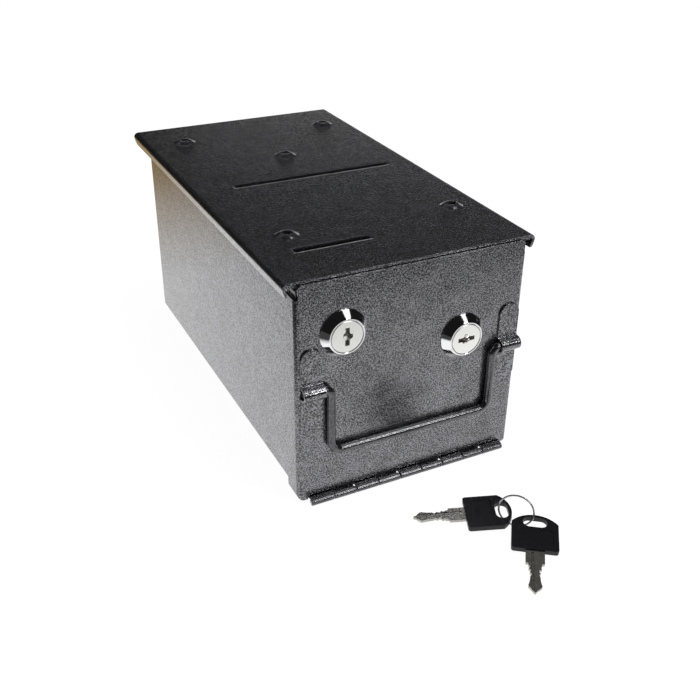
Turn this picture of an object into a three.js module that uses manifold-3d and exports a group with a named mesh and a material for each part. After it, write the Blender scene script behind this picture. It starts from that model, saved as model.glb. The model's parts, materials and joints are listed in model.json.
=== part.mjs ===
// Drop box of a poker table: a sheet-metal cash case that slides on lips under a mounting plate, with a
// bottom-hinged door, two cam locks, a bail handle and a pair of keys on a wire ring.
// Millimetres, +X right, -Y towards the person who faces the door, +Z up. The origin is the middle of the
// case's underside. The table lock is drawn open: its cam lies flat inside and turns up through both slots.
import * as THREE from "three";
import { mergeVertices } from "three/addons/utils/BufferGeometryUtils.js";
import Module from "manifold-3d";

const wasm = await Module();
wasm.setup();

// Case: outer sizes of the folded shell, and the gauge of its sheet.
const caseWidth = 136;
const caseDepth = 254;
const caseHeight = 130.9;
const caseGauge = 1.5;
const caseBend = 2.5;
const seamFlange = 10;
const seamBend = 1.5;
const backFlange = 12;
const backCorner = 3;
const backFit = 0.5;
const lipReach = 4.3;

// Mounting plate: its two side edges fold down and lean in under the lips of the case's top.
const lipGap = 1.2;
const plateGauge = 1.5;
const plateBend = 1.5;
const plateDrop = 8.2;
const plateLean = 16;
const plateLead = 0.6;
const plateTail = 13.4;
const plateGap = 0.3;
const plateCorner = 3;

// Slots: one for notes across the middle, one for the table lock's cam.
const billSlotLength = 105;
const billSlotWidth = 5;
const billSlotX = 4;
const billSlotOffset = 3.4;
const camSlotLength = 45;
const camSlotWidth = 5;
const camSlotEndGap = 0.7;
const slotCorner = 1;
const innerSlotMargin = 0.8;

// Screw dimples: four at the corners and one in the middle, raised so that screw heads sink from below.
const dimpleX = 2.7;
const dimpleSpacing = 104;
const frontDimpleInset = 54.3;
const middleDimpleInset = 89.3;
const rearDimpleInset = 36;
const dimpleRadius = 7.4;
const dimpleHeight = 2;
const dimpleRim = 3.6;
const dimpleFoot = 0.6;
const dimpleSeam = 0.3;
const screwHole = 2.6;

// Door: a shallow pan over the front of the case.
const doorGauge = 1.2;
const doorSideGap = 0.4;
const doorBend = 2;
const doorFlange = 13.9;
const doorBelow = 2;
const doorTopGap = 0.4;
const doorFlangeTopGap = 1.4;
const doorCorner = 4;
const doorTabInset = 2;

// Piano hinge along the door's lower edge.
const hingeInset = 4.5;
const hingeKnuckles = 9;
const hingeGauge = 0.9;
const hingePinRadius = 1.1;
const hingePinFit = 0.1;
const hingeAhead = 3.2;
const knuckleGap = 0.5;
const hingeSeat = 0.4;
const caseLeafDepth = 14;
const doorLeafHeight = 12;
const notchMargin = 0.6;
const notchRise = 0.5;

// Cam locks: shared sizes, then what differs.
const lockBodyRadius = 9.4;
const lockFlatHalf = 8;
const lockReach = 35.5;
const bezelRadius = 13.6;
const bezelFace = 10.5;
const bezelProud = 5;
const bezelLand = 0.6;
const bezelEdge = 0.9;
const bezelLip = 0.8;
const bezelChamfer = 0.3;
const plugHeadRadius = 9.1;
const plugHeadDepth = 2.8;
const plugRadius = 6.5;
const plugFit = 0.2;
const panelHoleFit = 0.3;
const nutAcross = 24;
const nutThickness = 4;
const camGauge = 2.4;
const camSquare = 8;
const camFit = 0.2;
const camBack = 0.3;
const camScrewHead = 5;
const camScrewHeadDepth = 2.6;
const camScrewShank = 2;
const camScrewLength = 7;
const tableLockInset = 25.3;
const tableLockBelow = 31.3;
const tableCamHalf = 10.5;
const tableCamRise = 3.3;
const doorLockInset = 37.4;
const doorLockBelow = 50.3;
const doorCamHalf = 8;
const doorCamReach = 31;

// Catch behind which the door lock's cam turns.
const catchHeight = 24;
const catchDepth = 18;
const catchReach = 10.5;
const catchGap = 0.5;

// Bail handle and the two straps that hold its feet.
const rodRadius = 2.4;
const rodGap = 0.3;
const bailLegInset = 10.7;
const bailDrop = 40.3;
const bailShoulder = 4.5;
const bailCorner = 6.5;
const bailAxisZ = 69.2;
const strapInset = 8.4;
const strapWidth = 12.8;
const strapHeight = 50;
const strapGauge = 1.2;
const strapHeel = 1.2;
const strapLoopFit = 0.35;
const footInset = 1;

// Keys and their ring, lying in front of the box on the surface that carries it.
const keyHeadWidth = 25;
const keyHeadSide = 19.5;
const keyHeadCrown = 6;
const keyHeadThick = 3;
const keyHeadCorner = 1.6;
const keyHeadEdge = 0.4;
const keyHoleLength = 13;
const keyHoleWidth = 7;
const keyHoleInset = 5.5;
const keyPanelDepth = 0.25;
const keyPanelBorder = 3;
const keyThick = 1.6;
const keyBladeWidth = 7;
const keyBladeLength = 19.5;
const keyShoulderWidth = 10;
const keyShoulderLength = 9.2;
const keyTang = 8;
const keyTangFit = 0.15;
const keyGroove = 1.3;
const keyGrooveDepth = 0.4;
const keyTipLength = 4.2;
const keyBitting = [0.3, 0.8, 1.6, 1.2, 0.7];
const keyBittingOther = [0.5, 0.7, 1.4, 1.5, 0.5];
const keyRidge = 0.35;
const keywayFit = 0.2;
const ringRadius = 9.6;
const ringWire = 0.5;
const ringPlace = { x: 30.4, ahead: 62, turn: -46.8, lean: 84.7 };
const keyLift = 2.7;
const keyOne = { side: -1, turn: -23.6, wireAlong: -1, wireAcross: -3.8 };
const keyTwo = { side: 1, turn: 54.7, wireAlong: 0.1, wireAcross: 3.3 };

// How far a cutting tool runs past the faces that it opens.
const past = 1;

// Places that follow from the sizes above.
const halfCase = caseWidth / 2;
const caseFront = -caseDepth / 2;
const caseTopUnder = caseHeight - caseGauge;
const plateUnder = caseHeight + plateGap;
const plateTop = plateUnder + plateGauge;
const plateFront = caseFront - plateLead;
const plateDepth = plateLead + caseDepth + plateTail;
const billSlotY = plateFront + plateDepth / 2 + billSlotOffset;
const doorInner = caseFront - hingeSeat - hingeGauge;
const doorFace = doorInner - doorGauge;
const doorHalf = halfCase + doorSideGap + doorGauge;
const doorTop = plateUnder - doorTopGap;
const doorFlangeTop = plateTop - plateDrop - doorFlangeTopGap;
const knuckleRadius = hingePinRadius + hingePinFit + hingeGauge;
const hingeY = doorFace - hingeAhead;
const hingeZ = -knuckleRadius;
const hingeLength = 2 * (halfCase - hingeInset);
const knucklePitch = hingeLength / hingeKnuckles;
const lockRear = doorFace + lockReach;
const camFront = lockRear + camFit;
const camMiddle = camFront + camGauge / 2;
const tableLock = { x: tableLockInset - halfCase, z: caseHeight - tableLockBelow, camHalf: tableCamHalf };
const doorLock = { x: halfCase - doorLockInset, z: caseHeight - doorLockBelow, camHalf: doorCamHalf };
const tableCamReach = plateTop + tableCamRise - tableLock.z;
const rodY = doorFace - rodRadius - rodGap;
const strapX = doorHalf - strapInset;
const bailHalfWidth = strapX - bailLegInset;
const restSlope = Math.asin((2 * knuckleRadius) / (caseFront - hingeY + caseDepth - caseBend));

const steel = { metalness: 0.9, roughness: 0.35 };
const palette = {
  enamel: { color: 0x2c2c2e, metalness: 0.25, roughness: 0.5 },
  chrome: { color: 0xe6e6e8, metalness: 1, roughness: 0.08 },
  nickel: { color: 0xc9c5bb, ...steel },
  zinc: { color: 0xb9bbbd, ...steel },
  keyMetal: { color: 0x8f8a82, ...steel },
  plastic: { color: 0x17171b, metalness: 0, roughness: 0.45 },
};

const object = new THREE.Group();

function solidOf(geometry) {
  const bare = geometry.index ? geometry.toNonIndexed() : geometry.clone();
  bare.deleteAttribute("normal");
  bare.deleteAttribute("uv");
  const merged = mergeVertices(bare, 1e-4);
  return new wasm.Manifold(
    new wasm.Mesh({
      numProp: 3,
      vertProperties: merged.attributes.position.array,
      triVerts: new Uint32Array(merged.index.array),
    }),
  );
}

function geometryOf(solid) {
  const { vertProperties, triVerts } = solid.getMesh();
  const geometry = new THREE.BufferGeometry();
  geometry.setAttribute("position", new THREE.BufferAttribute(vertProperties, 3));
  geometry.setIndex(new THREE.BufferAttribute(triVerts, 1));
  const facets = geometry.toNonIndexed();
  facets.computeVertexNormals();
  return facets;
}

function addPiece(parent, name, finish, solid) {
  const mesh = new THREE.Mesh(geometryOf(solid), new THREE.MeshStandardMaterial(finish));
  mesh.name = name;
  parent.add(mesh);
  return mesh;
}

function addGroup(parent, x, y, z) {
  const group = new THREE.Group();
  group.position.set(x, y, z);
  parent.add(group);
  return group;
}

function joined(solids) {
  return solids.reduce((whole, next) => whole.add(next));
}

function cut(solid, tools) {
  return tools.reduce((rest, tool) => rest.subtract(tool), solid);
}

function box(x0, x1, y0, y1, z0, z1) {
  const geometry = new THREE.BoxGeometry(x1 - x0, y1 - y0, z1 - z0);
  return solidOf(geometry.translate((x0 + x1) / 2, (y0 + y1) / 2, (z0 + z1) / 2));
}

// Extrudes a drawn outline. The outline's two axes and the direction of the depth are named by the function.
function alongZ(shape, z0, z1, curveSegments = 3) {
  const geometry = new THREE.ExtrudeGeometry(shape, { depth: z1 - z0, bevelEnabled: false, curveSegments });
  return solidOf(geometry.translate(0, 0, z0));
}

function alongY(shape, y0, y1, curveSegments = 3) {
  const geometry = new THREE.ExtrudeGeometry(shape, { depth: y1 - y0, bevelEnabled: false, curveSegments });
  return solidOf(geometry.rotateX(Math.PI / 2).translate(0, y1, 0));
}

function alongX(shape, x0, x1, curveSegments = 3) {
  const geometry = new THREE.ExtrudeGeometry(shape, { depth: x1 - x0, bevelEnabled: false, curveSegments });
  const turn = new THREE.Matrix4().makeBasis(
    new THREE.Vector3(0, 1, 0),
    new THREE.Vector3(0, 0, 1),
    new THREE.Vector3(1, 0, 0),
  );
  return solidOf(geometry.applyMatrix4(turn).translate(x0, 0, 0));
}

// Revolves a closed outline of [radius, y] pairs about the Y axis.
function revolved(outline, segments) {
  const points = outline.map(([r, y]) => new THREE.Vector2(r, y));
  if (THREE.ShapeUtils.area(points) < 0) points.reverse();
  return solidOf(new THREE.LatheGeometry([...points, points[0]], segments));
}

function cylinderY(radius, y0, y1, segments = 40) {
  const geometry = new THREE.CylinderGeometry(radius, radius, y1 - y0, segments);
  return solidOf(geometry.translate(0, (y0 + y1) / 2, 0));
}

function cylinderX(radius, x0, x1, segments = 20) {
  const geometry = new THREE.CylinderGeometry(radius, radius, x1 - x0, segments);
  return solidOf(geometry.rotateZ(Math.PI / 2).translate((x0 + x1) / 2, 0, 0));
}

function roundedRect(x0, x1, y0, y1, radius) {
  const r = Math.min(radius, (x1 - x0) / 2, (y1 - y0) / 2);
  const shape = new THREE.Shape();
  shape.absarc(x1 - r, y0 + r, r, -Math.PI / 2, 0);
  shape.absarc(x1 - r, y1 - r, r, 0, Math.PI / 2);
  shape.absarc(x0 + r, y1 - r, r, Math.PI / 2, Math.PI);
  shape.absarc(x0 + r, y0 + r, r, Math.PI, 1.5 * Math.PI);
  return shape;
}

// Walks a path of straight runs with an arc at each corner: [x, y, radius] at the arc's own middle line.
// Returns points with the direction square to the path, to the left of the walk.
function filletedPath(corners, steps) {
  const at = corners.map(([x, y]) => new THREE.Vector2(x, y));
  const left = (from, to) => to.clone().sub(from).normalize().rotateAround(new THREE.Vector2(), Math.PI / 2);
  const stations = [{ point: at[0], side: left(at[0], at[1]) }];
  for (let i = 1; i < at.length - 1; i += 1) {
    const radius = corners[i][2];
    const before = left(at[i - 1], at[i]);
    const after = left(at[i], at[i + 1]);
    const turn = Math.atan2(before.cross(after), before.dot(after));
    const hand = Math.sign(turn);
    const setback = radius * Math.tan(Math.abs(turn) / 2);
    const back = at[i - 1].clone().sub(at[i]).normalize();
    const start = at[i].clone().addScaledVector(back, setback);
    const centre = start.clone().addScaledVector(before, hand * radius);
    for (let k = 0; k <= steps; k += 1) {
      const side = before.clone().rotateAround(new THREE.Vector2(), (turn * k) / steps);
      stations.push({ point: centre.clone().addScaledVector(side, -hand * radius), side });
    }
  }
  const last = at.length - 1;
  stations.push({ point: at[last], side: left(at[last - 1], at[last]) });
  return stations;
}

// Cross-section of a bent sheet: the filleted middle line, thickened by half the gauge to each side.
function sheetSection(corners, gauge, steps = 5) {
  const stations = filletedPath(corners, steps);
  const offset = (by) => stations.map(({ point, side }) => point.clone().addScaledVector(side, by));
  return new THREE.Shape([...offset(-gauge / 2), ...offset(gauge / 2).reverse()]);
}

// A rod's middle line in the XZ plane whose steps are its own corners and arc points.
class RodPath extends THREE.Curve {
  constructor(corners, steps) {
    super();
    this.knots = filletedPath(corners, steps).map(({ point }) => new THREE.Vector3(point.x, 0, point.y));
  }
  getPoint(t, target = new THREE.Vector3()) {
    const place = t * (this.knots.length - 1);
    const i = Math.min(Math.floor(place), this.knots.length - 2);
    return target.copy(this.knots[i]).lerp(this.knots[i + 1], place - i);
  }
  getUtoTmapping(u) {
    return u;
  }
}

// The case.
function caseShell() {
  const middle = halfCase - caseGauge / 2;
  const floor = caseGauge / 2;
  const seam = caseTopUnder - caseGauge / 2;
  const bend = caseBend + caseGauge / 2;
  const topBend = seamBend + caseGauge / 2;
  const seamEnd = halfCase - caseGauge - seamFlange;
  const flanged = [
    [-seamEnd, seam],
    [-middle, seam, topBend],
    [-middle, floor, bend],
    [middle, floor, bend],
    [middle, seam, topBend],
    [seamEnd, seam],
  ];
  const plain = [
    [-middle, caseTopUnder],
    [-middle, floor, bend],
    [middle, floor, bend],
    [middle, caseTopUnder],
  ];
  const relief = -caseFront - backFlange - backFit;
  return alongY(sheetSection(flanged, caseGauge), caseFront, relief).add(
    alongY(sheetSection(plain, caseGauge), relief, -caseFront),
  );
}

function caseBack() {
  const half = halfCase - caseGauge;
  const outer = roundedRect(-half, half, caseGauge, caseTopUnder, backCorner);
  const inner = roundedRect(
    caseGauge - half,
    half - caseGauge,
    2 * caseGauge,
    caseTopUnder - caseGauge,
    backCorner - caseGauge,
  );
  return alongY(outer, -caseFront - backFlange, -caseFront).subtract(
    alongY(inner, -caseFront - backFlange - past, -caseFront - caseGauge),
  );
}

function slotCuts(margin, z0, z1) {
  const billHalf = billSlotLength / 2 + margin;
  const billDeep = billSlotWidth / 2 + margin;
  const camLeft = tableLock.x - tableLock.camHalf - camSlotEndGap;
  const camDeep = camSlotWidth / 2 + margin;
  const outlines = [
    [billSlotX - billHalf, billSlotX + billHalf, billSlotY - billDeep, billSlotY + billDeep],
    [camLeft - margin, camLeft + camSlotLength + margin, camMiddle - camDeep, camMiddle + camDeep],
  ];
  return outlines.map((outline) => alongZ(roundedRect(...outline, slotCorner), z0, z1));
}

function caseTop() {
  const half = halfCase + lipReach;
  const sheet = box(-half, half, caseFront, -caseFront, caseTopUnder, caseHeight);
  return cut(sheet, slotCuts(innerSlotMargin, caseTopUnder - past, caseHeight + past));
}

function doorCatch() {
  const wall = halfCase - caseGauge;
  const rear = camFront - catchGap;
  const section = sheetSection(
    [
      [wall - caseGauge / 2, rear - catchDepth],
      [wall - caseGauge / 2, rear - caseGauge / 2, seamBend + caseGauge / 2],
      [wall - catchReach, rear - caseGauge / 2],
    ],
    caseGauge,
  );
  return alongZ(section, doorLock.z - catchHeight / 2, doorLock.z + catchHeight / 2);
}

// The mounting plate.
function plateDimple(x, y) {
  const crownTop = plateTop + dimpleHeight;
  const crownUnder = plateUnder + dimpleHeight;
  const flare = (dimpleRadius - dimpleRim) / 3;
  const curl = dimpleHeight / 4;
  const outline = [
    [screwHole, crownUnder],
    [screwHole, crownTop],
    [dimpleRim, crownTop],
    [dimpleRim + flare, crownTop - curl],
    [dimpleRim + 2 * flare, plateTop + curl],
    [dimpleRadius, plateTop],
    [dimpleRadius, plateUnder],
    [dimpleRadius - dimpleFoot, plateUnder],
    [dimpleRim + flare, plateUnder + curl],
    [dimpleRim, crownUnder - curl],
  ];
  return revolved(outline, 24).rotate([90, 0, 0]).translate([x, y, 0]);
}

function mountingPlate() {
  const middle = plateUnder + plateGauge / 2;
  const bend = plateBend + plateGauge / 2;
  const lean = THREE.MathUtils.degToRad(plateLean);
  const inset = (middle - caseTopUnder) * Math.tan(lean) + plateGauge / 2 / Math.cos(lean);
  const corner = halfCase + lipReach + lipGap + inset;
  const tipDrop = plateDrop - plateGauge / 2 - (plateGauge / 2) * Math.sin(lean);
  const tip = [corner - tipDrop * Math.tan(lean), middle - tipDrop];
  const section = sheetSection(
    [[-tip[0], tip[1]], [-corner, middle, bend], [corner, middle, bend], tip],
    plateGauge,
  );
  const plateRear = plateFront + plateDepth;
  const plateFoot = plateTop - plateDrop - past;
  const side = roundedRect(plateFront, plateRear, plateFoot, plateTop + plateCorner + past, plateCorner);
  const folded = alongY(section, plateFront, plateRear).intersect(alongX(side, -caseWidth, caseWidth));
  const [left, right] = [dimpleX - dimpleSpacing / 2, dimpleX + dimpleSpacing / 2];
  const places = [
    [left, plateFront + frontDimpleInset],
    [right, plateFront + frontDimpleInset],
    [dimpleX, plateRear - middleDimpleInset],
    [left, plateRear - rearDimpleInset],
    [right, plateRear - rearDimpleInset],
  ];
  const holes = places.map(([x, y]) => {
    const seat = new THREE.Shape();
    seat.absarc(x, y, dimpleRadius - dimpleSeam, 0, 2 * Math.PI);
    return alongZ(seat, plateUnder - past, plateTop + past, 12);
  });
  const opened = cut(folded, [...slotCuts(0, plateUnder - past, plateTop + past), ...holes]);
  return joined([opened, ...places.map(([x, y]) => plateDimple(x, y))]);
}

// The door and its hinge.
function knuckleSpan(i) {
  const x0 = -hingeLength / 2 + i * knucklePitch;
  return [x0 + knuckleGap / 2, x0 + knucklePitch - knuckleGap / 2];
}

function hingeLeaf(first, strip, tab) {
  const boreRadius = hingePinRadius + hingePinFit;
  const bore = cylinderX(boreRadius, -hingeLength, hingeLength, 24).translate([0, hingeY, hingeZ]);
  const solids = [strip];
  for (let i = first; i < hingeKnuckles; i += 2) {
    const [x0, x1] = knuckleSpan(i);
    solids.push(cylinderX(knuckleRadius, x0, x1, 24).translate([0, hingeY, hingeZ]));
    solids.push(tab(x0, x1));
  }
  return joined(solids).subtract(bore);
}

function hingeCaseLeaf() {
  const strip = box(
    -hingeLength / 2 + knuckleGap / 2,
    hingeLength / 2 - knuckleGap / 2,
    caseFront,
    caseFront + caseLeafDepth,
    -hingeGauge,
    0,
  );
  return hingeLeaf(0, strip, (x0, x1) => box(x0, x1, hingeY, caseFront + past, -hingeGauge, 0));
}

function hingeDoorLeaf() {
  const inner = doorInner + hingeGauge;
  const foot = -doorBelow - hingeGauge;
  const [x0, x1] = [knuckleSpan(1)[0], knuckleSpan(hingeKnuckles - 2)[1]];
  const strip = box(x0, x1, doorInner, inner, notchRise, notchRise + doorLeafHeight);
  const tab = (a, b) =>
    box(a, b, hingeY, inner, foot, -doorBelow).add(box(a, b, doorInner, inner, foot, notchRise + past));
  return hingeLeaf(1, strip, tab);
}

function hingePin() {
  return cylinderX(hingePinRadius, -hingeLength / 2, hingeLength / 2, 24).translate([0, hingeY, hingeZ]);
}

function lockHole(fit) {
  const round = new THREE.Shape();
  const radius = lockBodyRadius + fit;
  const flat = lockFlatHalf + fit;
  const half = Math.asin(flat / radius);
  round.absarc(0, 0, radius, -half, half);
  round.absarc(0, 0, radius, Math.PI - half, Math.PI + half);
  return round;
}

function doorPanel() {
  const middle = doorHalf - doorGauge / 2;
  const face = doorFace + doorGauge / 2;
  const bend = doorBend + doorGauge / 2;
  const rear = doorFace + doorFlange;
  const rounding = doorCorner + past;
  const plan = sheetSection(
    [[-middle, rear], [-middle, face, bend], [middle, face, bend], [middle, rear]],
    doorGauge,
  );
  const side = roundedRect(doorFace - rounding, rear, -doorBelow, doorFlangeTop, doorCorner);
  const front = roundedRect(-doorHalf, doorHalf, -doorBelow, doorFlangeTop + rounding, doorCorner);
  const pan = alongZ(plan, -doorBelow, doorFlangeTop)
    .intersect(alongX(side, -caseWidth, caseWidth))
    .intersect(alongY(front, doorFace - past, rear + past));
  const tabHalf = doorHalf - doorTabInset;
  const tabFoot = doorFlangeTop - 2 * doorCorner;
  const tab = alongY(roundedRect(-tabHalf, tabHalf, tabFoot, doorTop, doorTabInset), doorFace, doorInner);
  const notches = [];
  for (let i = 0; i < hingeKnuckles; i += 2) {
    const [x0, x1] = knuckleSpan(i);
    const [left, right] = [x0 - notchMargin, x1 + notchMargin];
    notches.push(box(left, right, doorFace - past, doorInner + past, -doorBelow - past, notchRise));
  }
  const lockHoles = [tableLock, doorLock].map((lock) =>
    alongY(lockHole(panelHoleFit), doorFace - past, doorInner + past, 8).translate([lock.x, 0, lock.z]),
  );
  return cut(pan.add(tab), [...notches, ...lockHoles]);
}

// The straps and the bail.
function handleStrap(side) {
  const loop = rodRadius + strapLoopFit + strapGauge / 2;
  const flat = doorFace - strapGauge / 2;
  const crown = rodY - loop;
  const half = strapHeight / 2;
  const section = sheetSection(
    [
      [flat, bailAxisZ - half],
      [flat, bailAxisZ - loop, strapHeel],
      [crown, bailAxisZ - loop, loop],
      [crown, bailAxisZ + loop, loop],
      [flat, bailAxisZ + loop, strapHeel],
      [flat, bailAxisZ + half],
    ],
    strapGauge,
    6,
  );
  const x = side * strapX;
  const [left, right] = [x - strapWidth / 2, x + strapWidth / 2];
  const outline = roundedRect(left, right, bailAxisZ - half, bailAxisZ + half, strapWidth / 2);
  return alongX(section, left, right).intersect(alongY(outline, crown - strapGauge, doorFace + past, 5));
}

function bailHandle() {
  const foot = strapX + strapWidth / 2 - footInset;
  const path = new RodPath(
    [
      [-foot, 0],
      [-bailHalfWidth, 0, bailShoulder],
      [-bailHalfWidth, -bailDrop, bailCorner],
      [bailHalfWidth, -bailDrop, bailCorner],
      [bailHalfWidth, 0, bailShoulder],
      [foot, 0],
    ],
    7,
  );
  const round = new THREE.Shape();
  round.absarc(0, 0, rodRadius, 0, 2 * Math.PI);
  return solidOf(
    new THREE.ExtrudeGeometry(round, {
      extrudePath: path,
      steps: path.knots.length - 1,
      curveSegments: 7,
      bevelEnabled: false,
    }),
  );
}

// The cam locks, each drawn about its own axis, with the door's face at y = 0.
function lockBarrel() {
  const rim = bezelFace - bezelLand;
  const bore = plugRadius + plugFit;
  const recess = plugHeadRadius + plugFit;
  const floor = -bezelProud + plugHeadDepth + plugFit;
  const bezel = [
    [bore, lockReach],
    [lockBodyRadius, lockReach],
    [lockBodyRadius, 0],
    [bezelRadius, 0],
    [bezelRadius, -bezelLip],
    [bezelRadius - bezelChamfer, -bezelLip - bezelChamfer],
    [bezelFace + bezelChamfer, -bezelProud + bezelEdge],
    [bezelFace, -bezelProud + bezelEdge / 3],
    [rim, -bezelProud],
    [recess, -bezelProud],
    [recess, floor],
    [bore, floor],
  ];
  const flats = [-bezelRadius, lockFlatHalf].map((low) =>
    box(-bezelRadius, bezelRadius, 0, lockReach + past, low, low + bezelRadius - lockFlatHalf),
  );
  return cut(revolved(bezel, 44), flats);
}

function lockNut() {
  const hex = new THREE.Shape(
    Array.from({ length: 6 }, (_, i) => {
      const turn = (i * Math.PI) / 3;
      const reach = nutAcross / Math.sqrt(3);
      return new THREE.Vector2(reach * Math.cos(turn), reach * Math.sin(turn));
    }),
  );
  const bore = new THREE.Path();
  bore.absarc(0, 0, lockBodyRadius + panelHoleFit, 0, 2 * Math.PI);
  hex.holes.push(bore);
  return alongY(hex, doorGauge, doorGauge + nutThickness, 12);
}

function keywayShape() {
  const half = keyBladeWidth / 2 + keywayFit;
  const wide = keyThick / 2 + keywayFit;
  const step = keyGrooveDepth + keywayFit;
  return new THREE.Shape(
    [
      [-half, -wide + step],
      [-half / 2, -wide],
      [0, -wide],
      [half / 3, -wide + step],
      [half, -wide + step / 2],
      [half, wide - step],
      [half / 2, wide],
      [0, wide],
      [-half / 3, wide - step],
      [-half, wide - step / 2],
    ].map(([x, y]) => new THREE.Vector2(x, y)),
  );
}

function lockPlug(keyAngle) {
  const head = -bezelProud;
  const shankEnd = lockReach;
  const stub = camSquare / 2 - camFit;
  const turned = revolved(
    [
      [0, head],
      [plugHeadRadius - bezelChamfer, head],
      [plugHeadRadius, head + bezelChamfer],
      [plugHeadRadius, head + plugHeadDepth],
      [plugRadius, head + plugHeadDepth],
      [plugRadius, shankEnd],
      [0, shankEnd],
    ],
    40,
  );
  const stubEnd = shankEnd + camFit + camGauge - camBack;
  const square = box(-stub, stub, shankEnd - past, stubEnd, -stub, stub);
  const keyway = alongY(keywayShape(), head - past, head + keyBladeLength + past).rotate([0, -keyAngle, 0]);
  const tapped = cylinderY(camScrewShank + camFit, shankEnd - camScrewLength, stubEnd + past, 16);
  return cut(turned.add(square), [keyway, tapped]);
}

function lockCam(camHalf, reach, camAngle) {
  const [y0, y1] = [lockReach + camFit, lockReach + camFit + camGauge];
  const square = camSquare / 2;
  const blade = roundedRect(-camHalf, reach, -camHalf, camHalf, camHalf);
  const hole = box(-square, square, y0 - past, y1 + past, -square, square);
  return alongY(blade, y0, y1, 6).subtract(hole).rotate([0, -camAngle, 0]);
}

function lockCamScrew() {
  const seat = lockReach + camFit + camGauge;
  const head = new THREE.Shape(
    Array.from({ length: 6 }, (_, i) => {
      const turn = (i * Math.PI) / 3;
      return new THREE.Vector2(camScrewHead * Math.cos(turn), camScrewHead * Math.sin(turn));
    }),
  );
  return alongY(head, seat, seat + camScrewHeadDepth).add(
    cylinderY(camScrewShank, seat - camScrewLength, seat + past, 16),
  );
}

function addLock(name, lock, camReach, camAngle, keyAngle) {
  const place = addGroup(object, lock.x, doorFace, lock.z);
  addPiece(place, name + "_barrel", palette.chrome, lockBarrel());
  addPiece(place, name + "_nut", palette.zinc, lockNut());
  addPiece(place, name + "_plug", palette.nickel, lockPlug(keyAngle));
  addPiece(place, name + "_cam", palette.zinc, lockCam(lock.camHalf, camReach, camAngle));
  addPiece(place, name + "_cam_screw", palette.zinc, lockCamScrew());
}

// The keys, drawn flat with the middle of the ring's hole at the origin and the bow's end towards +X.
function keyHead() {
  const end = keyHoleInset;
  const start = end - keyHeadCrown - keyHeadSide;
  const half = keyHeadWidth / 2;
  const crown = (half * half + keyHeadCrown * keyHeadCrown) / (2 * keyHeadCrown);
  const sweep = Math.asin(half / crown);
  const outline = (inset) => {
    const [cornerX, cornerY] = [start + inset + keyHeadCorner, half - inset - keyHeadCorner];
    const arc = sweep - inset / crown;
    const shape = new THREE.Shape();
    shape.moveTo(cornerX, inset - half);
    shape.absarc(end - crown, 0, crown - inset, -arc, arc);
    shape.absarc(cornerX, cornerY, keyHeadCorner, Math.PI / 2, Math.PI);
    shape.absarc(cornerX, -cornerY, keyHeadCorner, Math.PI, 1.5 * Math.PI);
    return shape;
  };
  const body = joined([
    alongZ(outline(keyHeadEdge), 0, keyHeadThick, 4),
    alongZ(outline(0), keyHeadEdge, keyHeadThick - keyHeadEdge, 4),
  ]);
  const [across, along] = [keyHoleWidth / 2, keyHoleLength / 2];
  const hole = roundedRect(-across, across, -along, along, across);
  const panelHalf = half - keyPanelBorder;
  const panelEnd = -across - keyHeadCorner;
  const panel = roundedRect(start + keyPanelBorder, panelEnd, -panelHalf, panelHalf, keyHeadCorner);
  const tangHalf = keyShoulderWidth / 2 + keyTangFit;
  const rise = (keyHeadThick - keyThick) / 2 - keyTangFit;
  return cut(body, [
    alongZ(hole, -past, keyHeadThick + past, 4),
    alongZ(panel, keyHeadThick - keyPanelDepth, keyHeadThick + past),
    alongZ(panel, -past, keyPanelDepth),
    box(start - past, start + keyTang + keyTangFit, -tangHalf, tangHalf, rise, keyHeadThick - rise),
  ]);
}

function keyBlade() {
  const headStart = keyHoleInset - keyHeadCrown - keyHeadSide;
  const shoulder = headStart - keyShoulderLength;
  const tip = shoulder - keyBladeLength;
  const half = keyBladeWidth / 2;
  const taper = tip + keyTipLength;
  const pitch = (keyBladeLength - keyTipLength) / (keyBitting.length + 1);
  const bitten = (cuts, side) => {
    const depths = [0, ...cuts, 0];
    const knots = depths.slice(1).flatMap((depth, i) => {
      const ridge = Math.max(0, (depths[i] + depth) / 2 - keyRidge);
      return [
        new THREE.Vector2(taper + pitch * (i + 0.5), side * (half - ridge)),
        new THREE.Vector2(taper + pitch * (i + 1), side * (half - depth)),
      ];
    });
    const wave = [new THREE.Vector2(taper, side * half), ...knots];
    return new THREE.SplineCurve(wave).getPoints(2 * knots.length).map(({ x, y }) => [x, y]);
  };
  const points = [
    [tip, 0],
    ...bitten(keyBittingOther, -1),
    [shoulder, -keyShoulderWidth / 2],
    [headStart + keyTang, -keyShoulderWidth / 2],
    [headStart + keyTang, keyShoulderWidth / 2],
    [shoulder, keyShoulderWidth / 2],
    ...bitten(keyBitting, 1).reverse(),
  ];
  const z0 = (keyHeadThick - keyThick) / 2;
  const outline = new THREE.Shape(points.map(([x, y]) => new THREE.Vector2(x, y)));
  const grooves = [
    [keyGroove, z0 + keyThick - keyGrooveDepth, z0 + keyThick + past],
    [-keyGroove, z0 - past, z0 + keyGrooveDepth],
  ].map(([y, low, high]) => {
    return box(tip - past, shoulder + past, y - keyGroove / 2, y + keyGroove / 2, low, high);
  });
  return cut(alongZ(outline, z0, z0 + keyThick), grooves);
}

// Where the ring's wire passes the mid-plane of a key's head, on the ring's left or right side.
function wireCrossing(side, height) {
  const lean = THREE.MathUtils.degToRad(ringPlace.lean);
  const turn = THREE.MathUtils.degToRad(ringPlace.turn);
  const below = (height - ringWire) / Math.sin(lean) - ringRadius;
  const reach = side * Math.sqrt(ringRadius * ringRadius - below * below);
  const flat = new THREE.Vector2(reach, below * Math.cos(lean)).rotateAround(new THREE.Vector2(), turn);
  return flat.add(new THREE.Vector2(ringPlace.x, -ringPlace.ahead));
}

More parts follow.
